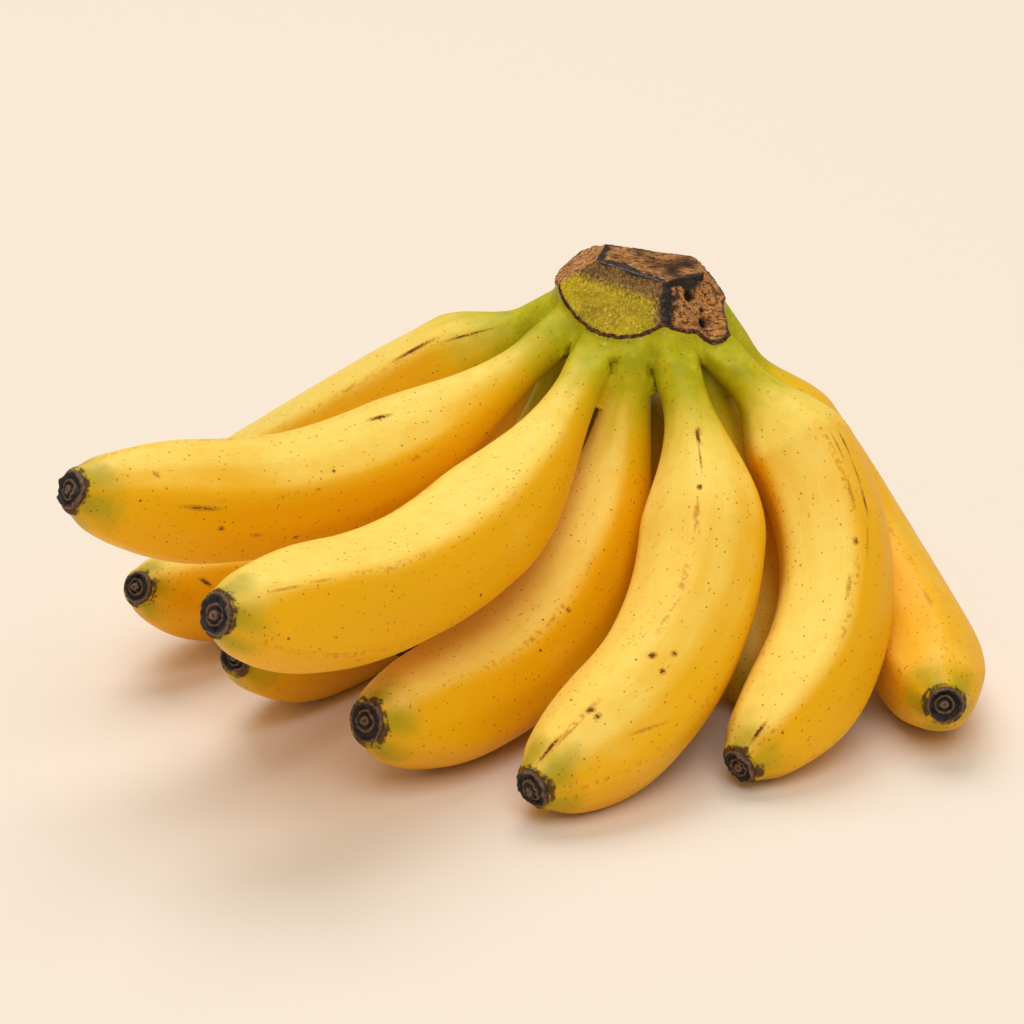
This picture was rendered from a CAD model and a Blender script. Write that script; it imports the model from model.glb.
"""Bunch of bananas on a pale studio floor: peel, scars, crown and stage around the solid frame."""
import math
from collections import namedtuple

import bpy
import numpy as np
from bpy.props import FloatProperty, FloatVectorProperty, PointerProperty
from bpy.types import Operator, Panel, PropertyGroup
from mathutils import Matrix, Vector
from mathutils.kdtree import KDTree


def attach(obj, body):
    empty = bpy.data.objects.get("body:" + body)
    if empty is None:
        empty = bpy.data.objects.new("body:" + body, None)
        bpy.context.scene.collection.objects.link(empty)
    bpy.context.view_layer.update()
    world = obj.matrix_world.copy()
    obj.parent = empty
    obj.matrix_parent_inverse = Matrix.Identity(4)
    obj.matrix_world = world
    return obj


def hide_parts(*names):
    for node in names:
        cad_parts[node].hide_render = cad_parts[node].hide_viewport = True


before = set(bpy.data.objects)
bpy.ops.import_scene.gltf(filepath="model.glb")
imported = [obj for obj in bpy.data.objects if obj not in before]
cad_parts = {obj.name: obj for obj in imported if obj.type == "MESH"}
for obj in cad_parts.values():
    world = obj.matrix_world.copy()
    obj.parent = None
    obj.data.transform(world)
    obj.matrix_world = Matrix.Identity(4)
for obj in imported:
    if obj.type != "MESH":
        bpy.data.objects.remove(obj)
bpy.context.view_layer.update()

bl_info = {
    "name": "Bunch of Bananas",
    "version": (1, 0, 0),
    "blender": (4, 5, 0),
    "location": "3D View > Sidebar > Bananas",
    "description": "Builds a ripe bunch of bananas and its studio stage around a solid frame",
    "category": "Add Mesh",
}

MM = 0.001

# A finger, in millimetres and degrees. Its neck starts on a ring around the crown's axis (place, drop)
# and sets off level with a heading from the front, positive to the left, and a pitch below level. It
# then bends in one plane (roll, 0 bends it up) over its whole length, and swells from neck to girth
# between two percentages of that length. Turn is where the first ridge of the peel stands.
Finger = namedtuple(
    "Finger", "place drop heading pitch roll bend length girth swell_start swell_length turn")
FINGERS = {
    "finger_outer_1": Finger(98, -1, 98, 31, 107, 35, 173, 15.7, 7, 16, -6),
    "finger_outer_2": Finger(71, 2, 53, 27, -4, 49, 176, 17.0, 9, 33, 4),
    "finger_outer_3": Finger(33, 5, 29, 33, 17, 53, 179, 17.7, 8, 36, 14),
    "finger_outer_4": Finger(6, 2, 22, 71, 18, 87, 168, 18.2, 7, 38, 26),
    "finger_outer_5": Finger(-20, 3, -23, 49, 81, 70, 163, 18.2, 11, 28, 17),
    "finger_outer_6": Finger(-53, 3, -60, 39, 112, 88, 156, 16.5, 13, 17, -16),
    "finger_outer_7": Finger(-103, 2, -95, 56, 91, 99, 169, 16.3, 11, 16, 30),
    "finger_inner_1": Finger(112.5, 11, 128, 55, -79, 113, 188.5, 15.2, 12, 31, 0),
    "finger_inner_2": Finger(106, 14, 86, 65, -50.5, 98.5, 169, 14.1, 13, 33, 8),
    "finger_inner_3": Finger(66, 19.5, 52.5, 89.5, -10, 105, 117, 12.6, 16, 38, 0),
    "finger_inner_4": Finger(14.5, 10, 19, 128.5, -6.5, 125.5, 117.5, 13.8, 13, 32, 0),
    "finger_inner_5": Finger(-67.5, 2, -38, 83, 30.5, 58, 118, 14.6, 15, 35, 0),
}

# Millimetres by which the green ends sooner on a neck.
RIPER_NECKS = {
    "finger_outer_1": -2.0, "finger_outer_2": 7.0, "finger_outer_3": 8.0, "finger_outer_4": 6.0}

# How every finger bends and tapers, in shares of its length and girth.
NECK_GIRTH = 0.36
TAPER_START = 0.74
TAPER_LOSS = 0.66
TAPER_POWER = 2.4
BEND_START = 0.10
BEND_LENGTH = 0.84
BEND_EASE = 0.45
SPINE_STEPS = 160

# The peel: faces around a finger, rows from the neck to near the tip and on to the scar, and where
# they stand, in millimetres from the ring or from the tip.
AROUND = {"outer": 156, "inner": 100}
BODY_ROWS = {"outer": 224, "inner": 130}
TIP_ROWS = 30
NECK_HIDDEN = 9.0
TIP_LENGTH = 14.0
SCAR_SEAT = 1.7
RIDGES = 5
RIDGE_DEPTH = 0.07
RIDGE_SHARPNESS = 2.1
RIDGE_FADE = 8.0
PINCH_PLACE = 4.2
PINCH_WIDTH = 2.4
PINCH_DEPTH = 0.05
TIP_NARROWING = 0.09

# The peel's texture runs along straightened fingers, set this far apart in millimetres.
STRAIGHT_SPACING = 400.0
# The side that ripened in the light (up, left and a little back), and how much of it a finger got.
SUNNY_SIDE = (-0.30, 0.12, 0.95)
SUNLESS = {"finger_outer_7": 0.3}

# Marks on the peel of each finger: how far along it and how far round it in degrees, the size along and
# across in millimetres, the slant in degrees and the strength.
MARKS = {
    "finger_outer_1": [(28, -155, 8.0, 0.7, 0, 0.85), (44, -147, 8.0, 0.8, 0, 0.90)],
    "finger_outer_2": [(145, -76, 7.5, 0.9, 0, 0.70), (137, -96, 1.3, 0.9, 0, 0.82),
        (125, -105, 3.0, 0.7, 10, 0.60), (112, -114, 1.5, 0.8, 0, 0.75), (75, -15, 4.5, 0.9, 10, 0.85),
        (157, -42, 1.6, 0.8, 60, 0.70)],
    "finger_outer_3": [(165, -59, 6.0, 0.7, 0, 0.60), (154, -58, 4.0, 0.6, 0, 0.52)],
    "finger_outer_4": [(92, -52, 1.4, 0.8, 0, 0.80)],
    "finger_outer_5": [(35, -62, 3.0, 1.1, 0, 1.0), (33, -66, 1.6, 1.3, 40, 0.75),
        (43, -60, 6.5, 0.65, 0, 0.66), (54, -57, 1.3, 0.9, 0, 0.95), (64, -55, 9.0, 0.6, 0, 0.50),
        (142, -57, 1.6, 1.2, 30, 0.85), (142, -66, 1.5, 1.1, 0, 0.80), (150, -58, 6.0, 0.7, 0, 0.58),
        (156, -51, 4.2, 1.2, 12, 0.95), (116, -63, 1.7, 1.1, 25, 0.90), (111, -77, 1.1, 1.0, 0, 0.88),
        (118, -78, 1.2, 1.0, 0, 0.90), (133, -105, 8.0, 0.7, 20, 0.52)],
    "finger_outer_6": [(53, -97, 6.0, 0.7, 0, 0.58), (67, -91, 7.0, 0.7, 0, 0.60),
        (82, -87, 1.3, 0.9, 0, 0.95), (97, -82, 5.0, 0.7, 0, 0.62), (52, -111, 4.0, 0.6, 0, 0.85),
        (61, -109, 5.0, 0.6, 0, 0.68), (69, -108, 5.0, 0.7, 0, 0.85), (81, -102, 8.0, 0.6, 6, 0.52),
        (149, -72, 3.5, 1.3, 0, 0.85)],
    "finger_outer_7": [(128, -38, 7.0, 0.7, 0, 0.58)],
    "finger_inner_1": [(170, -25, 3.2, 1.1, 35, 0.95)],
}

# The crown's skin reaches down over the necks: it stands free as far as loose, and lies just under
# the peel from tight to its end. Fillet is how far the webs between necks are filled.
COLLAR_LENGTH = 25.0
COLLAR_TIGHT = 20.0
COLLAR_LOOSE = 11.0
COLLAR_EXTRA = 0.35
COLLAR_SUNK = 0.14
ROOT_DEPTH_SHARE = 0.4
WEB_FILLET = 0.75

# Creases pressed into the webs: width and depth, and where along the necks they set in and run out.
CREASE_WIDTH = 2.0
CREASE_DEPTH = 2.0
CREASE_START = (8.0, 12.0)
CREASE_END = (15.0, 19.0)

# Hidden necks behind the front row are this much fuller, in millimetres, where they fill its gaps.
FULLER_NECKS = {"finger_inner_3": 3.2, "finger_inner_4": 2.6, "finger_inner_5": 1.8}

# A finger within reach of the floor sinks onto it, less and less up to this height, in millimetres.
SETTLE_REACH = 2.0
SETTLE_HEIGHT = 16.0

# The ring of necks in the frame, in millimetres.
RING_CENTRE = np.array([29.9, 41.1, 99.1])
RING_RADIUS_X = 20.0
RING_RADIUS_Y = 16.0

# Knife cuts of the crown: outward direction and distance from the ring's centre in millimetres.
Cut = namedtuple("Cut", "direction distance")
CUTS = {
    "top": Cut((0.13, -0.15, 0.98), 14.7),
    "front": Cut((-0.20, -0.75, 0.63), 15.8),
    "right": Cut((0.50, -0.68, 0.54), 18.4),
    "left": Cut((-0.53, 0.04, 0.85), 20.4),
    "back": Cut((0.15, 0.68, 0.72), 16.5),
    "shoulder": Cut((0.76, 0.06, 0.65), 21.0),
}
# Dead edge where two cuts meet, as wide as this on the first, in millimetres.
WIDE_EDGES = {
    ("top", "front"): 3.6, ("right", "front"): 3.4, ("right", "top"): 3.8, ("top", "left"): 2.2,
    ("front", "right"): 1.5, ("top", "right"): 1.3, ("front", "top"): 1.0}
THIN_EDGE = 0.45
# Ear of the crown that hangs under the right cut: centre from the ring's centre, and radius.
EAR = ((17.3, -9.2, -1.6), 7.2)
# The necks duck under the cuts: this far near the ring, then less with each millimetre from start on,
# and soon not at all beyond free, where the limit is released with the square of the distance. The
# peel goes a little deeper (extra) than the crown's own skin.
DUCK = 0.7
DUCK_EXTRA = 0.5
DUCK_START = 7.0
DUCK_RISE = 0.45
DUCK_FREE = 15.0
DUCK_RELEASE = 0.12

CROWN_PROFILE = [(0, 22), (24, 22), (24.5, 6), (24.2, -2), (22, -8), (17, -14), (9, -17), (0, -18)]
CROWN_DEPTH_SHARE = 0.85
CUT_REACH = 0.40
FAR = 99.0
FAR_FROM_TIP = 150.0

# Whole-number factors that scatter the cells of the noise.
CELL_FACTORS = np.array([374761393, 668265263, 2147483647])
SEED_FACTOR = 974711
SCATTER = 1274126177


# ---------------------------------------------------------------- shapes in numbers

def smooth(value, low=0.0, high=1.0):
    """Smooth step from 0 at low to 1 at high."""
    x = np.clip((value - low) / (high - low), 0.0, 1.0)
    return x * x * (3.0 - 2.0 * x)


def lattice(cell, seed):
    """A repeatable random number from 0 to 1 for each whole-numbered cell."""
    mixed = (cell * CELL_FACTORS).sum(axis=-1) + seed * SEED_FACTOR
    mixed = (mixed ^ (mixed >> 13)) * SCATTER
    return ((mixed ^ (mixed >> 16)) & 0xFFFF) / 65535.0


def grain(points, size, seed):
    """Smooth noise from -1 to 1 with lumps of about this size, in the points' own units."""
    scaled = np.asarray(points, dtype=float) / size
    cell = np.floor(scaled).astype(np.int64)
    part = scaled - cell
    part = part * part * (3.0 - 2.0 * part)
    total = np.zeros(len(scaled))
    for corner in range(8):
        step = np.array([corner & 1, corner >> 1 & 1, corner >> 2 & 1])
        share = np.where(step == 1, part, 1.0 - part).prod(axis=1)
        total += share * lattice(cell + step, seed)
    return total * 2.0 - 1.0


def rolled_out(radius, angles, height):
    """Points on a straight tube, from radius, angle and height."""
    return np.stack([radius * np.cos(angles), radius * np.sin(angles), height], axis=-1)


class Spine:
    """Centre line of a finger, with the frame across it, sampled at even shares of its length."""

    def __init__(self, finger):
        self.finger = finger
        place, heading, pitch, roll, bend = np.radians(
            [finger.place, finger.heading, finger.pitch, finger.roll, finger.bend])
        start = RING_CENTRE + np.array(
            [-RING_RADIUS_X * math.sin(place), -RING_RADIUS_Y * math.cos(place), -finger.drop])
        level = np.array([-math.sin(heading), -math.cos(heading), 0.0])
        side = np.array([-math.cos(heading), math.sin(heading), 0.0])
        up = np.array([0.0, 0.0, 1.0])
        forward = level * math.cos(pitch) - up * math.sin(pitch)
        upward = level * math.sin(pitch) + up * math.cos(pitch)
        inward = upward * math.cos(roll) + side * math.sin(roll)
        self.across = np.cross(forward, inward)
        self.shares = np.linspace(0.0, 1.0, SPINE_STEPS + 1)
        reached = np.clip((self.shares - BEND_START) / BEND_LENGTH, 0.0, 1.0)
        turned = bend * (BEND_EASE * smooth(reached) + (1.0 - BEND_EASE) * reached)
        self.forwards = np.outer(np.cos(turned), forward) + np.outer(np.sin(turned), inward)
        steps = (self.forwards[1:] + self.forwards[:-1]) / 2.0 * finger.length / SPINE_STEPS
        self.points = start + np.vstack([np.zeros(3), np.cumsum(steps, axis=0)])

    def read(self, shares, rows):
        return np.stack([np.interp(shares, self.shares, column) for column in rows.T], axis=-1)

    def at(self, shares):
        """Point, forward and inward directions at these shares of the length."""
        forward = self.read(shares, self.forwards)
        forward /= np.linalg.norm(forward, axis=-1, keepdims=True)
        return self.read(shares, self.points), forward, np.cross(self.across, forward)

    def outward(self, shares, angles):
        """Direction away from the centre line, turned by these angles from inward."""
        inward = self.at(shares)[2]
        return inward * np.cos(angles)[:, None] + self.across * np.sin(angles)[:, None]

    def wrap(self, shares, radius, angles):
        """Points round the centre line."""
        return self.at(shares)[0] + radius[:, None] * self.outward(shares, angles)

    def swell(self, shares):
        finger = self.finger
        return smooth(shares * 100.0, finger.swell_start, finger.swell_start + finger.swell_length)

    def radius(self, shares):
        girth = NECK_GIRTH + (1.0 - NECK_GIRTH) * self.swell(shares)
        taper = np.maximum((shares - TAPER_START) / (1.0 - TAPER_START), 0.0)
        return self.finger.girth * girth * (1.0 - TAPER_LOSS * taper ** TAPER_POWER)


SPINES = {name: Spine(finger) for name, finger in FINGERS.items()}


def ridge_share(angles):
    """1 on each ridge of the peel, 0 in the middle of each face."""
    return (0.5 + 0.5 * np.cos(RIDGES * angles)) ** RIDGE_SHARPNESS


def peel_radius(name, along, angles):
    """Radius of the peel in millimetres, along the finger in millimetres and around it in radians."""
    spine = SPINES[name]
    finger = spine.finger
    share = along / finger.length
    swell = spine.swell(share)
    radius = spine.radius(share)
    ridge = swell * smooth((1.0 - share) * RIDGE_FADE)
    turned = angles - math.radians(finger.turn)
    radius = radius * (1.0 - RIDGE_DEPTH * ridge * (1.0 - ridge_share(turned)))
    to_tip = finger.length - along
    radius = radius * (1.0 - PINCH_DEPTH * np.exp(-((to_tip - PINCH_PLACE) / PINCH_WIDTH) ** 2))
    seed = list(FINGERS).index(name)
    straight = rolled_out(radius, angles, along)
    lumps = 0.28 * grain(straight, 21.0, seed) + 0.07 * grain(straight, 7.0, seed + 20)
    radius = radius * (1.0 - TIP_NARROWING * smooth(10.0 - to_tip, 0.0, 10.0))
    fuller = FULLER_NECKS.get(name, 0.0) * smooth(along, 4.0, 9.0) * smooth(55.0 - along, 0.0, 20.0)
    return radius + swell * lumps + fuller


def near_spine(name, points, reach):
    """For points in millimetres: distance along the finger up to reach, radius and angle around it."""
    spine = SPINES[name]
    along = np.linspace(0.0, reach, 61)
    line, forward, inward = spine.at(along / spine.finger.length)
    gap = points[:, None, :] - line[None, :, :]
    nearest = (gap ** 2).sum(axis=2).argmin(axis=1)
    offset = points - line[nearest]
    further = (offset * forward[nearest]).sum(axis=1)
    inside = (offset * inward[nearest]).sum(axis=1)
    sideways = offset @ spine.across
    return along[nearest] + further, np.hypot(inside, sideways), np.arctan2(sideways, inside)


def facing(cut):
    """The outward direction of a knife cut, of length one."""
    return np.array(cut.direction) / np.linalg.norm(cut.direction)


def cut_distances(points):
    """How far outside each knife cut the points are, in millimetres, one column a cut."""
    local = points - RING_CENTRE
    return np.stack([local @ facing(cut) - cut.distance for cut in CUTS.values()], axis=1)


def duck_under_cuts(points, along, extra=0.0):
    """Presses the roots of the necks under the knife cuts of the crown."""
    allowed = -DUCK - extra + np.maximum(along - DUCK_START, 0.0) * DUCK_RISE
    allowed += np.maximum(along - DUCK_FREE, 0.0) ** 2 * DUCK_RELEASE
    for index, cut in enumerate(CUTS.values()):
        over = np.maximum(cut_distances(points)[:, index] - allowed, 0.0)
        points = points - over[:, None] * facing(cut)
    return points


def settle(points):
    """Lets a finger that nearly touches the floor rest on it, with a small flat where it does."""
    low = points[:, 2].min()
    if 0.0 < low < SETTLE_REACH:
        points[:, 2] -= low * (1.0 - smooth(points[:, 2], 0.0, SETTLE_HEIGHT))
    points[:, 2] = np.maximum(points[:, 2], 0.0)
    return points


# ---------------------------------------------------------------- modelling helpers

def deselect():
    """Leaves edit mode and drops the selection, so that the next operator acts on its own piece."""
    if bpy.context.object and bpy.context.object.mode != "OBJECT":
        bpy.ops.object.mode_set(mode="OBJECT")
    bpy.ops.object.select_all(action="DESELECT")


def take(piece):
    """Makes this the one selected and active piece."""
    deselect()
    piece.select_set(True)
    bpy.context.view_layer.objects.active = piece


def name_piece(name):
    """Names the active piece and its mesh."""
    piece = bpy.context.object
    piece.name = name
    piece.data.name = name
    return piece


def in_edit(piece):
    take(piece)
    bpy.ops.object.mode_set(mode="EDIT")
    bpy.ops.mesh.select_mode(type="VERT")
    bpy.ops.mesh.select_all(action="SELECT")


def out_of_edit():
    bpy.ops.object.mode_set(mode="OBJECT")


def read_vertices(piece, key):
    flat = np.empty(len(piece.data.vertices) * 3)
    piece.data.vertices.foreach_get(key, flat)
    return flat.reshape(-1, 3)


def read_points(piece):
    """The mesh's points in millimetres."""
    return read_vertices(piece, "co") / MM


def write_points(piece, points):
    piece.data.vertices.foreach_set("co", (points * MM).ravel())
    piece.data.update()


def store(piece, name, values):
    """Keeps one number, or one vector, for each point of the mesh."""
    kind, key = ("FLOAT", "value") if values.ndim == 1 else ("FLOAT_VECTOR", "vector")
    attribute = piece.data.attributes.new(name, kind, "POINT")
    attribute.data.foreach_set(key, values.astype(np.float32).ravel())


def apply_modifier(piece, kind, **settings):
    """Adds a modifier with these settings and applies it."""
    take(piece)
    modifier = piece.modifiers.new(kind.title(), kind)
    for key, value in settings.items():
        setattr(modifier, key, value)
    bpy.ops.object.modifier_apply(modifier=modifier.name)


def remesh(piece, voxel):
    apply_modifier(piece, "REMESH", mode="VOXEL", voxel_size=voxel * MM, use_smooth_shade=True)


def lathe(name, profile, sides):
    """A closed round shape on the Z axis: a circle extruded through (radius, height) steps."""
    deselect()
    radius, height = profile[0]
    bpy.ops.mesh.primitive_circle_add(vertices=sides, radius=radius * MM, location=(0, 0, 0))
    piece = name_piece(name)
    in_edit(piece)
    bpy.ops.transform.translate(value=(0, 0, height * MM))
    bpy.ops.mesh.edge_face_add()
    bpy.ops.mesh.select_all(action="SELECT")
    for wider, higher in profile[1:]:
        bpy.ops.mesh.extrude_region_move(
            TRANSFORM_OT_translate={"value": (0, 0, (higher - height) * MM)})
        bpy.ops.transform.resize(
            value=(wider / radius, wider / radius, 1), center_override=(0, 0, higher * MM))
        radius, height = wider, higher
    bpy.ops.mesh.select_all(action="SELECT")
    bpy.ops.mesh.normals_make_consistent(inside=False)
    out_of_edit()
    return piece


def sleeve(name, around, stations):
    """A flat grid to be wrapped into a tube, with one row for each station along it. Also gives the
    station and the angle of each point, and whether it is on the first or the last row."""
    deselect()
    rows = len(stations) - 1
    bpy.ops.mesh.primitive_grid_add(x_subdivisions=around, y_subdivisions=rows, size=1)
    piece = name_piece(name)
    flat = read_points(piece) * MM + 0.5
    row = np.rint(flat[:, 1] * rows).astype(int)
    return piece, stations[row], flat[:, 0] * 2.0 * math.pi, (row == 0) | (row == rows)


def close_sleeve(piece):
    """Merges the seam and the ends of a wrapped grid and turns its faces outwards."""
    in_edit(piece)
    bpy.ops.mesh.remove_doubles(threshold=0.00001)
    bpy.ops.mesh.normals_make_consistent(inside=False)
    out_of_edit()


# ---------------------------------------------------------------- material helpers

class Graph:
    """A short way to add shader nodes to a tree and join them."""

    def __init__(self, tree):
        self.tree = tree

    def feed(self, sockets, values):
        """Joins or sets each named socket. Colours of three numbers are opaque."""
        for key, value in values.items():
            if isinstance(value, bpy.types.NodeSocket):
                self.tree.links.new(value, sockets[key])
            elif sockets[key].type == "RGBA":
                sockets[key].default_value = (*value[:3], 1.0)
            else:
                sockets[key].default_value = value

    def node(self, kind, inputs=None, **settings):
        node = self.tree.nodes.new(kind)
        for key, value in settings.items():
            setattr(node, key, value)
        self.feed(node.inputs, inputs or {})
        return node

    def math(self, operation, first, second):
        return self.node("ShaderNodeMath", {0: first, 1: second}, operation=operation).outputs[0]

    def plus(self, first, second):
        return self.math("ADD", first, second)

    def minus(self, first, second):
        return self.math("SUBTRACT", first, second)

    def times(self, first, second):
        return self.math("MULTIPLY", first, second)

    def below(self, first, second):
        return self.math("LESS_THAN", first, second)

    def swing(self, value, reach):
        """Turns a noise around one half into one around zero, with this reach."""
        return self.times(self.minus(value, 0.5), reach)

    def mix(self, share, first, second):
        return self.node("ShaderNodeMix", {0: share, 6: first, 7: second}, data_type="RGBA").outputs[2]

    def blend(self, share, first, second):
        """Like mix, for two numbers."""
        return self.node("ShaderNodeMix", {0: share, 2: first, 3: second}).outputs[0]

    def tint(self, base, share, strength, colour):
        """Base with a share of this strength of a colour over it."""
        return self.mix(self.times(share, strength), base, colour)

    def step(self, value, low, high, bottom=0.0, top=1.0):
        """Smooth step from bottom at low to top at high."""
        node = self.node("ShaderNodeMapRange", {0: value, 1: low, 2: high, 3: bottom, 4: top},
                         interpolation_type="SMOOTHSTEP")
        return node.outputs[0]

    def noise(self, place, scale, detail=3.0, roughness=0.5, twist=0.0):
        node = self.node("ShaderNodeTexNoise", {
            "Vector": place, "Scale": scale, "Detail": detail, "Roughness": roughness,
            "Distortion": twist})
        return node.outputs[0]

    def cells(self, place, scale):
        """Distance to the nearest speck, and a random number from 0 to 1 for each."""
        node = self.node("ShaderNodeTexVoronoi", {"Vector": place, "Scale": scale})
        split = self.node("ShaderNodeSeparateColor", {0: node.outputs["Color"]})
        return node.outputs["Distance"], split.outputs[0], split.outputs[1]

    def stretch(self, place, scale):
        node = self.node("ShaderNodeMapping", {"Vector": place, "Scale": scale})
        return node.outputs[0]

    def attribute(self, name, vector=False):
        node = self.node("ShaderNodeAttribute", attribute_name=name)
        return node.outputs["Vector" if vector else "Fac"]


def new_group(name, vectors, values, colours):
    """A shader node group with these inputs and a surface's outputs: its graph and its sockets inside."""
    tree = bpy.data.node_groups.new(name, "ShaderNodeTree")
    for kind, labels in (("Vector", vectors), ("Float", values), ("Color", colours)):
        for label in labels:
            tree.interface.new_socket(label, in_out="INPUT", socket_type="NodeSocket" + kind)
    for label, kind in (("Color", "Color"), ("Roughness", "Float"), ("Height", "Float")):
        tree.interface.new_socket(label, in_out="OUTPUT", socket_type="NodeSocket" + kind)
    graph = Graph(tree)
    source = graph.node("NodeGroupInput")
    return graph, source.outputs, graph.node("NodeGroupOutput").inputs


def peel_group():
    """Skin of a ripe banana: mottled yellow, green neck, olive tip, freckles, worn ridges, bruises."""
    graph, given, out = new_group(
        "Banana Skin", ("Place", "Straight"),
        ("From Crown", "To Tip", "Ridge", "Mark", "Sunny", "Freckles"),
        ("Lemon", "Gold", "Green", "Olive"))
    place, straight = given["Place"], given["Straight"]
    blotch = graph.noise(place, 32.0, 3.0)
    mottle = graph.noise(place, 210.0, 4.0, 0.6)
    fibre = graph.noise(graph.stretch(straight, (1.0, 1.0, 0.05)), 1500.0, 4.0, 0.6)
    strand = graph.noise(graph.stretch(straight, (1.0, 1.0, 0.12)), 330.0, 3.0, 0.55)

    lit = graph.plus(given["Sunny"], graph.swing(blotch, 0.9))
    lit = graph.plus(lit, graph.swing(strand, 0.35))
    colour = graph.mix(graph.step(lit, 0.05, 0.95), given["Gold"], given["Lemon"])
    colour = graph.mix(graph.step(mottle, 0.40, 0.8, 0.0, 0.28), colour, given["Gold"])
    colour = graph.mix(graph.step(fibre, 0.5, 0.75, 0.0, 0.18), colour, (0.78, 0.40, 0.015))
    colour = graph.mix(graph.step(given["Ridge"], 0.55, 1.0, 0.0, 0.22), colour, (0.93, 0.47, 0.010))

    wander = graph.times(graph.noise(place, 90.0, 2.0), 14.0)
    wander = graph.plus(wander, graph.times(strand, 16.0))
    reach = graph.minus(graph.plus(given["From Crown"], wander), 15.0)
    tinge = graph.step(reach, 20.0, 50.0, 0.70, 0.0)
    colour = graph.mix(tinge, colour, (0.66, 0.50, 0.006))
    neck = graph.step(reach, 12.0, 36.0, 1.0, 0.0)
    paler = graph.mix(graph.step(mottle, 0.3, 0.75), given["Green"], (0.58, 0.50, 0.006))
    colour = graph.mix(neck, colour, paler)
    wrinkle = graph.noise(graph.stretch(straight, (0.35, 0.35, 1.0)), 1100.0, 3.0, 0.6, 0.4)
    near = graph.step(given["From Crown"], 3.0, 17.0, 1.0, 0.0)
    crease = graph.times(near, graph.step(wrinkle, 0.55, 0.72))
    colour = graph.tint(colour, crease, 0.40, (0.80, 0.76, 0.20))

    ragged = graph.noise(place, 330.0, 3.0, 0.6)
    end = graph.plus(given["To Tip"], graph.times(graph.noise(place, 120.0, 2.0), 11.0))
    hollow_face = graph.minus(1.0, graph.times(given["Ridge"], 0.55))
    olive = graph.times(graph.step(end, 8.0, 19.0, 0.85, 0.0), hollow_face)
    colour = graph.mix(olive, colour, given["Olive"])

    apart, chance, size = graph.cells(place, 560.0)
    radius = graph.plus(graph.times(size, 0.11), 0.08)
    dot = graph.below(graph.minus(apart, radius), 0.0)
    dot = graph.times(dot, graph.below(chance, given["Freckles"]))
    colour = graph.tint(colour, dot, 0.70, (0.42, 0.095, 0.003))
    apart_long, chance_long, _ = graph.cells(graph.stretch(straight, (1.0, 1.0, 0.33)), 640.0)
    dash = graph.times(graph.step(apart_long, 0.10, 0.25, 1.0, 0.0),
                      graph.below(chance_long, 0.30))
    colour = graph.tint(colour, dash, 0.45, (0.64, 0.23, 0.005))
    apart_big, chance_big, size_big = graph.cells(place, 125.0)
    wide = graph.plus(graph.times(size_big, 0.035), 0.035)
    big = graph.times(graph.below(graph.minus(apart_big, wide), 0.0),
                     graph.below(chance_big, 0.33))
    near_tip = graph.step(given["To Tip"], 6.0, 16.0, 1.0, 0.0)
    apart_tip, chance_tip, _ = graph.cells(place, 620.0)
    peppered = graph.times(graph.step(apart_tip, 0.10, 0.22, 1.0, 0.0),
                          graph.below(chance_tip, 0.30))
    peppered = graph.times(peppered, near_tip)
    spots = graph.math("MAXIMUM", big, peppered)
    colour = graph.tint(colour, spots, 0.8, (0.17, 0.045, 0.004))

    worn = graph.times(graph.step(given["Ridge"], 0.93, 0.995),
                      graph.step(graph.noise(place, 45.0, 2.0), 0.44, 0.60))
    line = graph.times(worn, graph.step(graph.noise(place, 560.0, 2.0), 0.46, 0.62))
    colour = graph.tint(colour, line, 0.60, (0.60, 0.21, 0.005))

    uneven = graph.plus(-0.10, graph.times(graph.noise(place, 1500.0, 3.0, 0.7), 2.05))
    rough_mark = graph.times(given["Mark"], uneven)
    stain = graph.step(rough_mark, 0.14, 0.50, 0.0, 0.72)
    colour = graph.mix(stain, colour, (0.52, 0.22, 0.012))
    bruise = graph.step(rough_mark, 0.50, 0.66)
    colour = graph.tint(colour, bruise, 0.90, (0.085, 0.026, 0.008))

    fringe = graph.plus(given["To Tip"], graph.times(ragged, -7.5))
    burnt = graph.step(fringe, -2.4, -1.2, 1.0, 0.0)
    colour = graph.tint(colour, burnt, 0.92, (0.075, 0.028, 0.012))

    dark = graph.math("MAXIMUM", bruise, burnt)
    rough = graph.plus(graph.step(mottle, 0.3, 0.8, 0.40, 0.52), graph.times(dark, 0.16))
    height = graph.plus(graph.times(fibre, 0.30),
                        graph.times(graph.noise(place, 1900.0, 2.0), 0.22))
    height = graph.plus(height, graph.times(mottle, 0.30))
    height = graph.plus(height, graph.times(crease, 0.55))
    height = graph.minus(height, graph.times(dot, 0.35))
    height = graph.minus(height, graph.times(dark, 0.8))
    graph.feed(out, {"Color": colour, "Roughness": rough, "Height": height})
    return graph.tree


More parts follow.
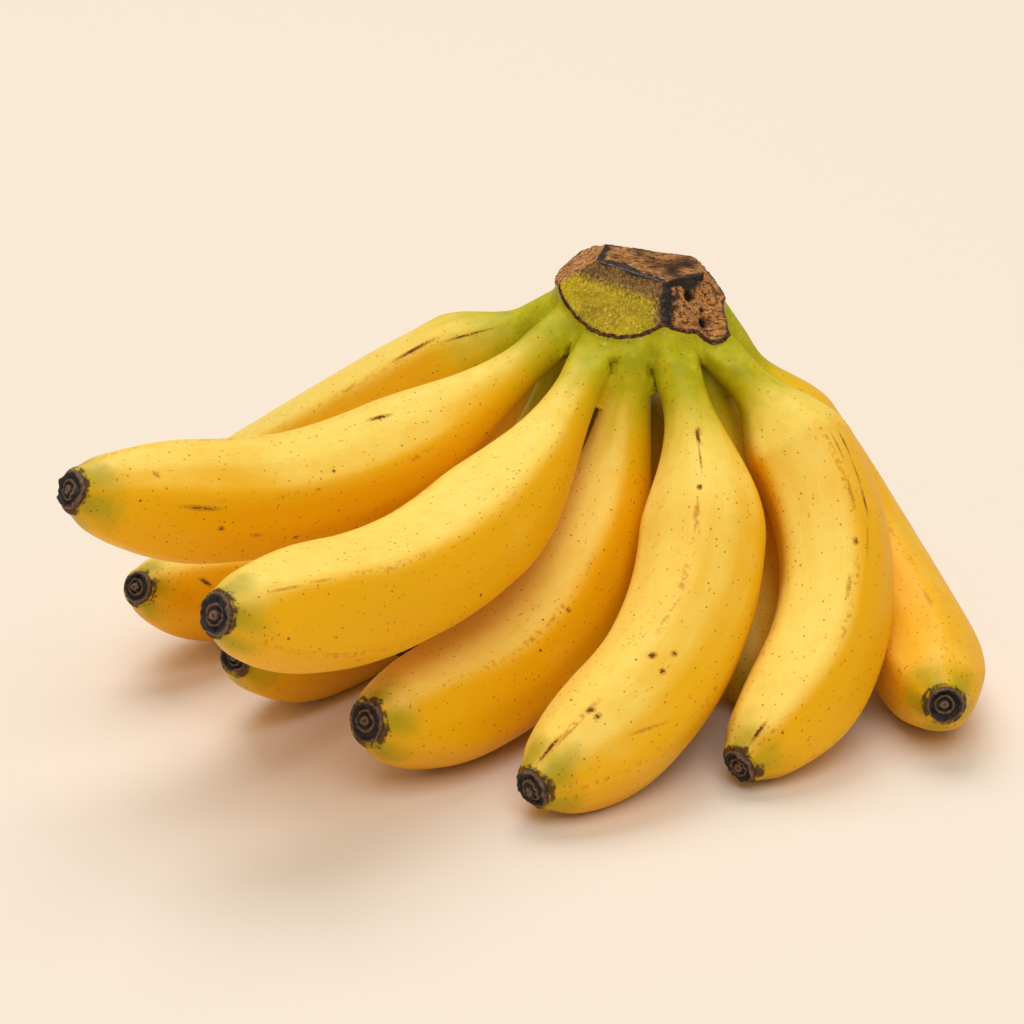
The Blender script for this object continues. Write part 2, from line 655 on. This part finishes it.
def stalk_group():
    """A knife-cut banana stalk: tan fibres over dark pith, green wet pith, charred edges and holes."""
    graph, given, out = new_group(
        "Cut Stalk", ("Place",), ("Fresh", "Edge", "Lip", "Hollow"), ("Fibre", "Pulp", "Pith"))
    place = given["Place"]
    grainy = graph.noise(graph.stretch(place, (0.35, 1.0, 1.0)), 1150.0, 5.0, 0.72, 0.9)
    strands = graph.noise(graph.stretch(place, (0.18, 0.7, 0.7)), 1700.0, 4.0, 0.65, 1.4)
    patch = graph.noise(place, 170.0, 4.0, 0.6, 0.5)
    wood = graph.mix(graph.step(grainy, 0.38, 0.58), given["Pulp"], given["Fibre"])
    wood = graph.mix(graph.step(strands, 0.54, 0.66, 0.0, 0.80), wood, (0.86, 0.46, 0.18))
    wood = graph.mix(graph.step(strands, 0.34, 0.46, 0.8, 0.0), wood, given["Pulp"])
    wood = graph.mix(graph.step(patch, 0.50, 0.74, 0.0, 0.55), wood, (0.105, 0.045, 0.020))

    threads = graph.noise(graph.stretch(place, (1.0, 1.0, 0.16)), 1600.0, 4.0, 0.65, 0.5)
    pith = graph.mix(graph.step(patch, 0.35, 0.70), given["Pith"], (0.40, 0.29, 0.008))
    pith = graph.mix(graph.step(threads, 0.53, 0.64, 0.0, 0.75), pith, (0.92, 0.68, 0.09))
    pith = graph.mix(graph.step(threads, 0.36, 0.46, 0.65, 0.0), pith, (0.22, 0.14, 0.008))
    brown = graph.mix(graph.step(threads, 0.35, 0.65), (0.10, 0.045, 0.018), (0.36, 0.20, 0.055))
    fresh = graph.step(graph.plus(given["Fresh"], graph.swing(threads, 0.9)), 0.30, 0.85)
    pith = graph.mix(fresh, brown, pith)

    colour = graph.mix(graph.step(given["Fresh"], 0.01, 0.06), wood, pith)
    edge = graph.plus(given["Edge"], graph.swing(grainy, 1.3))
    edge = graph.plus(edge, graph.swing(patch, 0.8))
    char = graph.step(edge, 0.36, 0.66)
    ash = graph.mix(graph.step(grainy, 0.45, 0.70), (0.022, 0.014, 0.012), (0.13, 0.085, 0.065))
    colour = graph.mix(char, colour, ash)
    lip = graph.times(graph.step(given["Lip"], 0.3, 0.8), graph.step(grainy, 0.30, 0.55))
    colour = graph.tint(colour, lip, 0.7, (0.50, 0.44, 0.42))
    pit = graph.step(given["Hollow"], 0.25, 0.8)
    colour = graph.mix(pit, colour, (0.020, 0.010, 0.006))

    rough = graph.minus(0.78, graph.times(char, 0.34))
    rough = graph.minus(rough, graph.times(graph.step(given["Fresh"], 0.01, 0.06), 0.22))
    height = graph.plus(graph.times(grainy, 0.9), graph.times(strands, 0.9))
    height = graph.plus(height, graph.times(threads, 0.5))
    graph.feed(out, {"Color": colour, "Roughness": rough, "Height": height})
    return graph.tree


def blank_material(name):
    """A material with only its Principled BSDF, and the graph to fill it."""
    material = bpy.data.materials.new(name)
    material.use_nodes = True
    graph = Graph(material.node_tree)
    return material, graph, material.node_tree.nodes["Principled BSDF"]


def join_group(graph, tree, look):
    """A node of this group, each input fed by the look's setting or the attribute of its name."""
    node = graph.node("ShaderNodeGroup", node_tree=tree)
    for label in node.inputs.keys():
        key = label.lower().replace(" ", "_")
        if key == "place":
            value = graph.node("ShaderNodeTexCoord").outputs["Object"]
        elif key in look.__annotations__:
            value = getattr(look, key)
        else:
            value = graph.attribute(key, vector=key == "straight")
        graph.feed(node.inputs, {label: value})
    return node.outputs


def set_surface(graph, surface, colour, rough, height, strength, distance):
    """Gives a surface its colour, roughness and relief."""
    bump = graph.node("ShaderNodeBump", {"Strength": strength, "Distance": distance, "Height": height})
    graph.feed(surface.inputs, {
        "Base Color": colour, "Roughness": rough, "Normal": bump.outputs["Normal"]})


# Soft light under the skin, the same on peel and crown.
SKIN_DEPTH = {"Subsurface Weight": 0.12, "Subsurface Radius": (1.0, 0.55, 0.12),
              "Subsurface Scale": 0.0012, "Specular IOR Level": 0.17}


def peel_material(look):
    """Satin banana peel, a little see-through."""
    material, graph, surface = blank_material("Banana Peel")
    skin = join_group(graph, peel_group(), look)
    set_surface(graph, surface, skin["Color"], skin["Roughness"], skin["Height"], 0.55, 0.00016)
    graph.feed(surface.inputs, SKIN_DEPTH)
    return material


def crown_material(look):
    """Green skin with knife cuts of fibre and pith, told apart by the crown's own attributes."""
    material, graph, surface = blank_material("Banana Crown")
    skin = join_group(graph, bpy.data.node_groups.get("Banana Skin") or peel_group(), look)
    stalk = join_group(graph, stalk_group(), look)
    place = graph.node("ShaderNodeTexCoord").outputs["Object"]
    cut = graph.step(graph.attribute("cut"), 0.35, 0.65)
    rim = graph.plus(graph.attribute("rim"), graph.swing(graph.noise(place, 400.0, 2.0, 0.5), 0.4))
    rim = graph.step(rim, 0.38, 0.58)
    bark = graph.mix(graph.step(graph.noise(place, 900.0, 3.0), 0.4, 0.7),
                     (0.040, 0.016, 0.009), (0.19, 0.085, 0.030))
    creased = graph.mix(graph.step(graph.attribute("crease"), 0.30, 1.0, 0.0, 0.80), skin["Color"],
                        (0.10, 0.085, 0.004))
    colour = graph.mix(cut, graph.mix(rim, creased, bark), stalk["Color"])
    rough = graph.blend(cut, graph.minus(skin["Roughness"], graph.times(rim, 0.12)), stalk["Roughness"])
    height = graph.blend(cut, graph.times(skin["Height"], 0.30), stalk["Height"])
    set_surface(graph, surface, colour, rough, height, 0.9, 0.0006)
    graph.feed(surface.inputs, SKIN_DEPTH)
    return material


def scar_material(look):
    """Dry blossom scar: nearly black in the grooves, warm brown on the crests, with a waxy glint."""
    material, graph, surface = blank_material("Blossom Scar")
    place = graph.node("ShaderNodeTexCoord").outputs["Object"]
    flakes = graph.noise(place, 900.0, 5.0, 0.7, 0.6)
    crest = graph.plus(graph.attribute("crest"), graph.swing(flakes, 2.6))
    colour = graph.mix(graph.step(crest, 0.35, 1.15), (0.014, 0.008, 0.007), look.scar)
    colour = graph.mix(graph.step(crest, 1.15, 1.6, 0.0, 0.75), colour, (0.30, 0.16, 0.085))
    set_surface(graph, surface, colour, graph.step(flakes, 0.3, 0.7, 0.42, 0.75), flakes, 0.9, 0.0004)
    return material


# ---------------------------------------------------------------- settings

def colour_setting(name, description, default):
    return FloatVectorProperty(name=name, description=description, default=default, subtype="COLOR",
                               size=3, min=0.0, max=1.0)


class BananaLook(PropertyGroup):
    """Colours and finish of the bunch."""
    lemon: colour_setting("Lemon", "Lighter yellow of the peel", (1.0, 0.72, 0.14))
    gold: colour_setting("Gold", "Deeper yellow of the peel", (0.93, 0.47, 0.002))
    green: colour_setting("Green", "Green of the necks and collar", (0.40, 0.39, 0.003))
    olive: colour_setting("Olive", "Olive tinge round the blossom scars", (0.42, 0.33, 0.006))
    scar: colour_setting("Scar", "Crests of the blossom scars", (0.17, 0.080, 0.042))
    fibre: colour_setting("Fibre", "Dry fibres of the cut stalk", (0.76, 0.33, 0.10))
    pulp: colour_setting("Pulp", "Dark pulp between the fibres", (0.070, 0.026, 0.012))
    pith: colour_setting("Pith", "Fresh pith of the front cut", (0.62, 0.44, 0.010))
    freckles: FloatProperty(name="Freckles", description="Share of the places where a freckle can be",
                            default=0.62, min=0.0, max=1.0, subtype="FACTOR")


class BananaStage(PropertyGroup):
    """Floor and light."""
    floor: colour_setting("Floor", "Colour of the floor", (0.89, 0.79, 0.69))
    floor_size: FloatProperty(name="Floor Size", description="Length of the floor's sides",
                              default=8.0, unit="LENGTH")
    sky: FloatProperty(name="Sky", description="Strength of the light from all round", default=0.39)
    key_power: FloatProperty(name="Key", description="Power of the main soft light in watts",
                             default=92.0)
    fill_power: FloatProperty(name="Fill", description="Power of the second soft light in watts",
                              default=70.0)


# ---------------------------------------------------------------- operators

def mark_mask(name, along, angles):
    """Strength of this finger's bruises at each point."""
    total = np.zeros_like(along)
    for place, around, length, width, slant, strength in MARKS.get(name, ()):
        turned = (angles - math.radians(around) + math.pi) % (2.0 * math.pi) - math.pi
        across, down = turned * FINGERS[name].girth, along - place
        slant = math.radians(slant)
        with_it = down * math.cos(slant) + across * math.sin(slant)
        over_it = across * math.cos(slant) - down * math.sin(slant)
        total = np.maximum(total, strength * np.exp(-(with_it / length) ** 2 - (over_it / width) ** 2))
    return total


def ripened(name, along):
    """Distance from the crown as the green of the neck sees it."""
    return along + RIPER_NECKS.get(name, 0.0) * smooth(along, 4.0, 16.0)


def store_skin(piece, name, along, radius, angles):
    """Keeps what the skin needs at each point of a finger."""
    finger = FINGERS[name]
    index = list(FINGERS).index(name)
    store(piece, "straight", rolled_out(radius, angles, along + STRAIGHT_SPACING * index) * MM)
    store(piece, "from_crown", ripened(name, along))
    store(piece, "to_tip", finger.length - along)
    ridge = ridge_share(angles - math.radians(finger.turn))
    store(piece, "ridge", ridge * SPINES[name].swell(along / finger.length))
    store(piece, "mark", mark_mask(name, along, angles))


def store_sunny(piece, share=1.0):
    """Keeps how far each point faces the side that ripened in the light."""
    facing_it = read_vertices(piece, "normal") @ np.array(SUNNY_SIDE)
    store(piece, "sunny", share * smooth(facing_it, 0.0, 0.92))


class MESH_OT_banana_fingers(Operator):
    """Build the twelve bananas of the bunch, each one closed skin from inside the crown to its scar"""
    bl_idname = "mesh.banana_fingers"
    bl_label = "Fingers"

    def execute(self, context):
        material = peel_material(context.scene.banana_look)
        for name, finger in FINGERS.items():
            row_kind = name.split("_")[1]
            end, tip_start = finger.length - SCAR_SEAT, finger.length - TIP_LENGTH
            stations = np.concatenate([
                [NECK_HIDDEN], np.linspace(NECK_HIDDEN, tip_start, BODY_ROWS[row_kind]),
                np.linspace(tip_start, end, TIP_ROWS)[1:], [end]])
            piece, along, angles, ends = sleeve(
                name.replace("finger", "banana"), AROUND[row_kind], stations)
            radius = peel_radius(name, along, angles)
            radius[ends] = 0.0
            points = SPINES[name].wrap(along / finger.length, radius, angles)
            write_points(piece, settle(duck_under_cuts(points, along, DUCK_EXTRA)))
            store_skin(piece, name, along, radius, angles)
            close_sleeve(piece)
            store_sunny(piece, SUNLESS.get(name, 1.0))
            take(piece)
            bpy.ops.object.shade_smooth()
            piece.data.materials.append(material)
            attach(piece, "root")
            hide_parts(name)
        return {"FINISHED"}


# Blossom scar as (radius, height) in millimetres above the end of the peel.
SCAR_PROFILE = [
    (4.4, -1.4), (5.1, -0.7), (5.45, -0.1), (5.62, 0.35), (5.58, 0.8), (5.4, 1.2), (5.05, 1.5),
    (4.7, 1.52), (4.35, 1.3), (4.0, 0.95), (3.65, 0.8), (3.35, 0.95), (3.1, 1.35), (2.75, 1.55),
    (2.4, 1.4), (2.1, 1.05), (1.8, 0.95), (1.55, 1.3), (1.25, 1.85), (0.8, 2.05), (0.35, 2.1)]
SCAR_SIDES = 72
SCAR_SEAT_RADIUS = 6.3
SCAR_CRESTS = [(5.35, 0.45), (2.8, 0.4), (0.9, 0.5)]


class MESH_OT_banana_scars(Operator):
    """Build the dry blossom scar at the tip of each banana"""
    bl_idname = "mesh.banana_scars"
    bl_label = "Blossom Scars"

    def execute(self, context):
        material = scar_material(context.scene.banana_look)
        master = lathe("scar_master", SCAR_PROFILE, SCAR_SIDES)
        in_edit(master)
        bpy.ops.mesh.subdivide(number_cuts=1)
        out_of_edit()
        shape = read_points(master)
        radius = np.hypot(shape[:, 0], shape[:, 1])
        angles = np.arctan2(shape[:, 1], shape[:, 0])
        crest = sum(np.exp(-((radius - at) / width) ** 2) for at, width in SCAR_CRESTS)
        rim, inner = smooth(radius, 3.6, 5.2), 1.0 - smooth(radius, 2.0, 4.6)
        for index, (name, finger) in enumerate(FINGERS.items()):
            take(master)
            bpy.ops.object.duplicate()
            piece = name_piece(name.replace("finger", "scar"))
            drift = rolled_out(3.0, angles, shape[:, 2] + 50.0 * index)
            spread = 1.0 + 0.07 * grain(drift, 2.2, 60 + index) * rim + 0.05 * grain(drift, 1.1, 61)
            flaky = shape + 30.0 * index
            lift = 0.62 * grain(flaky, 1.7, 62) + 0.36 * grain(flaky, 0.8, 63)
            shifted = shape * np.stack([spread, spread, np.ones_like(spread)], axis=-1)
            shifted[:, 0] += 0.45 * inner * math.cos(index * 2.1)
            shifted[:, 1] += 0.45 * inner * math.sin(index * 2.1)
            shifted[:, 2] += lift * smooth(shape[:, 2], -0.2, 0.8)
            shifted[:, :2] *= finger.girth * (1.0 - TAPER_LOSS) / SCAR_SEAT_RADIUS
            end = 1.0 - SCAR_SEAT / finger.length
            point, forward, inward = SPINES[name].at(np.array([end]))
            points = point + shifted[:, :1] * inward + shifted[:, 1:2] * SPINES[name].across
            points = points + shifted[:, 2:] * forward
            points[:, 2] = np.maximum(points[:, 2], 0.0)
            write_points(piece, points)
            store(piece, "crest", crest + 0.3 * smooth(shape[:, 2], 1.0, 2.0))
            in_edit(piece)
            bpy.ops.mesh.normals_make_consistent(inside=False)
            out_of_edit()
            bpy.ops.object.shade_smooth()
            piece.data.materials.append(material)
            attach(piece, "root")
        bpy.data.objects.remove(master)
        return {"FINISHED"}


# Hollows and insect holes in the cuts: place from the ring's centre, radius and depth in millimetres.
Hollow = namedtuple("Hollow", "place radius depth")
HOLLOWS = [
    Hollow((-5.5, 0.8, 15.6), 3.4, 1.3), Hollow((-1.0, 0.5, 15.2), 2.6, 1.0),
    Hollow((3.0, -0.4, 14.6), 3.6, 1.4), Hollow((8.5, 1.0, 14.2), 2.4, 0.8),
    Hollow((13.8, -10.9, 7.6), 2.3, 2.2), Hollow((17.4, -11.4, 3.6), 1.1, 1.2),
    Hollow((18.1, -13.3, 0.6), 1.7, 2.0)]
PITS = HOLLOWS[4:]


def crown_lump():
    """The lump with its ear, sliced by the knife, as one closed mesh."""
    lump = lathe("crown_lump", [step for step in CROWN_PROFILE if step[0] > 0], 64)
    points = read_points(lump)
    points[:, 1] *= CROWN_DEPTH_SHARE
    write_points(lump, points + RING_CENTRE)
    deselect()
    place, radius = EAR
    bpy.ops.mesh.primitive_uv_sphere_add(
        segments=32, ring_count=20, radius=radius * MM, location=(RING_CENTRE + np.array(place)) * MM)
    bpy.ops.object.transform_apply()
    lump.select_set(True)
    bpy.context.view_layer.objects.active = lump
    bpy.ops.object.join()
    remesh(lump, 0.8)
    for cut in CUTS.values():
        direction = facing(cut)
        in_edit(lump)
        bpy.ops.mesh.bisect(
            plane_co=(RING_CENTRE + direction * cut.distance) * MM, plane_no=direction,
            use_fill=True, clear_outer=True)
        out_of_edit()
    return lump


def crown_body():
    """The cut lump and the roots of the necks with the webs between them, as one fine closed mesh."""
    roots = []
    for name, finger in FINGERS.items():
        stations = np.array([-1.0, -1.0, *np.linspace(0.0, COLLAR_LENGTH, 20), COLLAR_LENGTH])
        root, along, angles, ends = sleeve("root", 40, stations)
        reached = np.maximum(along, 0.0)
        radius = peel_radius(name, reached, angles) + COLLAR_EXTRA
        radius[ends] = 0.0
        wrapped = SPINES[name].wrap(reached / finger.length, radius, angles)
        wrapped[along < 0.0] += ROOT_DEPTH_SHARE * (RING_CENTRE - SPINES[name].points[0])
        write_points(root, duck_under_cuts(wrapped, along))
        close_sleeve(root)
        roots.append(root)
    body = crown_lump()
    take(body)
    for root in roots:
        root.select_set(True)
    bpy.ops.object.join()
    body = name_piece("crown")
    remesh(body, 0.7)
    apply_modifier(body, "DISPLACE", strength=WEB_FILLET * MM, mid_level=0.0)
    remesh(body, 0.7)
    apply_modifier(body, "DISPLACE", strength=-WEB_FILLET * MM, mid_level=0.0)
    remesh(body, 0.5)
    apply_modifier(body, "SMOOTH", factor=0.5, iterations=3)
    return body


def on_lump(local):
    """True for points, measured from the ring's centre, that belong to the lump or its ear."""
    radii, heights = zip(*reversed(CROWN_PROFILE))
    allowed = np.interp(local[:, 2], heights, radii)
    inside = np.hypot(local[:, 0], local[:, 1] / CROWN_DEPTH_SHARE) < allowed + 0.35
    place, radius = EAR
    in_ear = np.linalg.norm(local - np.array(place), axis=1) < radius + 0.4
    return (inside & (local[:, 2] > -9.0)) | in_ear


class MESH_OT_banana_crown(Operator):
    """Build the knife-cut crown with its green collar running down over the necks"""
    bl_idname = "mesh.banana_crown"
    bl_label = "Crown"

    def execute(self, context):
        body = crown_body()
        points = read_points(body)
        outside = cut_distances(points)
        on_cut = (outside.max(axis=1) > -CUT_REACH) & on_lump(points - RING_CENTRE)
        cut_index = outside.argmax(axis=1)
        names = list(CUTS)

        # Skin over the necks: onto the finger's own surface, a hair under the peel.
        best = np.full(len(points), 1e9)
        owner = np.zeros(len(points), dtype=int)
        facts = {}
        for index, name in enumerate(FINGERS):
            along, radius, angles = near_spine(name, points, COLLAR_LENGTH + 6.0)
            surface = peel_radius(name, np.maximum(along, 0.0), angles)
            gap = np.abs(radius - surface) + 2.0 * np.maximum(0.5 - along, 0.0)
            facts[name] = (along, radius, angles, surface)
            closer = gap < best
            best[closer] = gap[closer]
            owner[closer] = index
        along_own = np.zeros(len(points))
        straight = np.zeros((len(points), 3))
        for index, name in enumerate(FINGERS):
            mine = owner == index
            along, radius, angles, surface = (fact[mine] for fact in facts[name])
            pull = smooth(along, COLLAR_LOOSE, COLLAR_TIGHT)
            changed = radius + pull * (surface - COLLAR_SUNK - radius)
            changed = np.where(along < COLLAR_LENGTH - 1.0, changed, radius * 0.9)
            outward = SPINES[name].outward(along / FINGERS[name].length, angles)
            points[mine] += (changed - radius)[:, None] * outward
            along_own[mine] = ripened(name, along)
            straight[mine] = rolled_out(radius, angles, along + STRAIGHT_SPACING * index)

        # Creases where the webs run between two necks.
        away = np.full((len(FINGERS), len(points)), FAR)
        for index, name in enumerate(FINGERS):
            along, radius, angles, surface = facts[name]
            away[index] = np.where(along > 1.0, radius - surface, FAR)
        away.sort(axis=0)
        crease = 1.0 - smooth(away[1] - away[0], 0.2, CREASE_WIDTH)
        crease *= np.where(on_cut | (away[0] < -1.5), 0.0, smooth(along_own, *CREASE_START))
        crease *= 1.0 - smooth(along_own, *CREASE_END)
        write_points(body, points)
        points -= (CREASE_DEPTH * crease)[:, None] * read_vertices(body, "normal")

        # Distances that tell the cuts, their edges and the skin apart.
        skin_tree = KDTree(int((~on_cut).sum()))
        cut_tree = KDTree(int(on_cut.sum()))
        for index in range(len(points)):
            (cut_tree if on_cut[index] else skin_tree).insert(points[index], index)
        skin_tree.balance()
        cut_tree.balance()
        to_skin = np.full(len(points), FAR)
        to_cut = np.full(len(points), FAR)
        nearest_cut = np.zeros(len(points), dtype=int)
        high = points[:, 2] > RING_CENTRE[2] - 25.0
        for index in np.flatnonzero(high):
            if on_cut[index]:
                to_skin[index] = skin_tree.find(points[index])[2]
            else:
                place, other, gap = cut_tree.find(points[index])
                to_cut[index], nearest_cut[index] = gap, cut_index[other]
        to_facet = np.where(on_cut, -np.sort(outside, axis=1)[:, -2], FAR)

        front = on_cut & (cut_index == names.index("front"))
        woody = on_cut & ~front
        local = points - RING_CENTRE
        outward = np.array([facing(cut) for cut in CUTS.values()])[cut_index]

        second = np.argsort(outside, axis=1)[:, -2]
        width = np.array([
            [WIDE_EDGES.get((one, other), THIN_EDGE) for other in names] for one in names])
        uneven = 1.0 + 0.55 * grain(local, 2.6, 76) + 0.35 * grain(local, 1.1, 77)
        to_edge = to_facet / (width[cut_index, second] * uneven)
        edge = np.where(on_cut, 1.0 - smooth(to_edge, 0.15, 1.1), 0.0)
        edge = np.maximum(edge, np.where(woody, 0.62 * uneven * (1.0 - smooth(to_skin, 0.2, 1.5)), 0.0))
        edge = np.maximum(edge, np.where(front, 0.7 * (1.0 - smooth(to_skin, 0.2, 0.7)), 0.0))
        above = on_cut & (cut_index == names.index("top"))
        lip = np.where(front & (second == names.index("top")), 1.0 - smooth(to_facet, 0.1, 0.6), 0.0)
        to_top, to_right = (-outside[:, names.index(name)] for name in ("top", "right"))
        inner = smooth(np.minimum(to_top, to_right * 1.6 + 1.0), 0.8, 7.5)
        fresh = np.where(front, 0.1 + 0.9 * inner, 0.0)
        front_edge = (nearest_cut == names.index("front")) | (nearest_cut == names.index("right"))
        rim = 1.0 - smooth(to_cut / np.where(front_edge, 1.35, 0.8), 0.5, 1.0)
        rim = np.where(on_cut, np.where(to_skin < 1.0, 0.8, 0.0), rim)

        # Relief: torn fibres and hollows in the cuts, dry lips on the edges, a bead round the cuts.
        fibres = grain(local * np.array([0.45, 1.0, 1.0]), 1.5, 71) + 0.6 * grain(local, 0.9, 72)
        billow = grain(local, 6.5, 73)
        relief = np.where(woody, 0.26 * fibres + 0.55 * billow - 0.35, 0.0)
        relief += np.where(front, 0.07 * fibres + 0.18 * billow, 0.0)
        relief += np.where(on_cut, 0.42 * (1.0 - smooth(to_facet, 0.0, 1.3)), 0.0)
        hollow = np.zeros(len(points))
        for dent in HOLLOWS:
            gap = np.linalg.norm(local - np.array(dent.place), axis=1) / dent.radius
            gap = gap * (1.0 + 0.3 * grain(local, 1.6, 74))
            relief -= np.where(woody, dent.depth * np.exp(-(gap * 1.25) ** 4), 0.0)
            darkness = np.where(woody, 1.0 if dent in PITS else 0.45, 0.0)
            hollow = np.maximum(hollow, darkness * np.exp(-(gap * 1.1) ** 2))
        hollow = np.where(above, np.maximum(hollow, 0.44 + 0.30 * grain(local, 4.5, 78)), hollow)
        onto = np.where(on_cut, -outside.max(axis=1), 0.0)
        points += outward * (onto + relief * smooth(to_skin, 0.0, 1.2))[:, None]
        sideways = local * np.array([1.0, 1.4, 0.0])
        sideways /= np.linalg.norm(sideways, axis=1)[:, None] + 1e-9
        bead = np.exp(-((to_cut - 0.9) / 0.8) ** 2) * np.where(front_edge, 0.55, 0.25)
        bead = np.where(on_cut, 0.0, bead)
        bead += np.where(on_cut & (to_skin < 0.9), 0.25, 0.0)
        points += sideways * (bead * (1.0 + 0.5 * grain(local, 2.5, 75)))[:, None]
        write_points(body, points)

        store_sunny(body)
        nothing = np.zeros(len(points))
        for key, values in {
                "straight": straight * MM, "from_crown": along_own, "to_tip": nothing + FAR_FROM_TIP,
                "ridge": nothing, "mark": nothing, "cut": on_cut.astype(float), "edge": edge,
                "rim": rim, "fresh": fresh, "hollow": hollow, "crease": crease, "lip": lip}.items():
            store(body, key, values)
        take(body)
        bpy.ops.object.shade_smooth()
        body.data.materials.clear()
        body.data.materials.append(crown_material(context.scene.banana_look))
        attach(body, "root")
        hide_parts("crown")
        return {"FINISHED"}


CAMERA_PLACE = (-0.00697, -0.7689, 0.3633)
CAMERA_TILT = 68.0
CAMERA_LENS = 103.74
LIGHT_AIM = (0.0, 0.0, 0.03)
LIGHT_COLOUR = (0.99, 1.0, 1.03)
SKY_COLOUR = (1.0, 0.90, 0.68)


def soft_light(name, place, size, power):
    """A square soft light at place, turned towards the bunch."""
    deselect()
    bpy.ops.object.light_add(type="AREA", location=place)
    light = bpy.context.object
    light.name = name
    light.data.size = size
    light.data.energy = power
    light.data.color = LIGHT_COLOUR
    light.rotation_euler = (Vector(place) - Vector(LIGHT_AIM)).to_track_quat("Z", "Y").to_euler()


class SCENE_OT_banana_stage(Operator):
    """Set out the pale floor, the soft light and the camera"""
    bl_idname = "scene.banana_stage"
    bl_label = "Stage"

    def execute(self, context):
        stage = context.scene.banana_stage
        deselect()
        bpy.ops.mesh.primitive_plane_add(size=stage.floor_size, location=(0, 0, 0))
        floor = name_piece("floor")
        material, graph, surface = blank_material("Pale Paper")
        place = graph.node("ShaderNodeTexCoord").outputs["Object"]
        darker = [level * 0.985 for level in stage.floor]
        tone = graph.mix(graph.noise(place, 400.0, 3.0), stage.floor, darker)
        graph.feed(surface.inputs, {"Base Color": tone, "Roughness": 0.9, "Specular IOR Level": 0.1})
        floor.data.materials.append(material)

        world = bpy.data.worlds.new("Studio")
        world.use_nodes = True
        sky = world.node_tree.nodes["Background"]
        sky.inputs["Color"].default_value = (*SKY_COLOUR, 1.0)
        sky.inputs["Strength"].default_value = stage.sky
        context.scene.world = world
        soft_light("key_light", (-0.4, 1.8, 3.8), 3.0, stage.key_power)
        soft_light("fill_light", (0.2, -2.3, 3.5), 2.8, stage.fill_power)

        deselect()
        bpy.ops.object.camera_add(location=CAMERA_PLACE, rotation=(math.radians(CAMERA_TILT), 0, 0))
        camera = context.object
        camera.name = "camera"
        camera.data.lens = CAMERA_LENS
        camera.data.sensor_width = 36.0
        context.scene.camera = camera
        context.scene.view_settings.view_transform = "Standard"
        return {"FINISHED"}


class VIEW3D_PT_bananas(Panel):
    """The steps that build the bunch, and its colours"""
    bl_idname = "VIEW3D_PT_bananas"
    bl_label = "Bunch of Bananas"
    bl_space_type = "VIEW_3D"
    bl_region_type = "UI"
    bl_category = "Bananas"

    def draw(self, context):
        for step in STEPS:
            self.layout.operator(step.bl_idname)
        for settings in (context.scene.banana_look, context.scene.banana_stage):
            for name in settings.__annotations__:
                self.layout.prop(settings, name)


STEPS = (MESH_OT_banana_fingers, MESH_OT_banana_scars, MESH_OT_banana_crown, SCENE_OT_banana_stage)
CLASSES = (BananaLook, BananaStage, *STEPS, VIEW3D_PT_bananas)


def register():
    for each in CLASSES:
        bpy.utils.register_class(each)
    bpy.types.Scene.banana_look = PointerProperty(type=BananaLook)
    bpy.types.Scene.banana_stage = PointerProperty(type=BananaStage)


def unregister():
    del bpy.types.Scene.banana_look
    del bpy.types.Scene.banana_stage
    for each in reversed(CLASSES):
        bpy.utils.unregister_class(each)


def main():
    """Builds everything in order and notes the frame's box beside the finished bunch's box."""
    register()
    bpy.ops.mesh.banana_fingers()
    bpy.ops.mesh.banana_scars()
    bpy.ops.mesh.banana_crown()
    bpy.ops.scene.banana_stage()


if __name__ == "__main__":
    main()
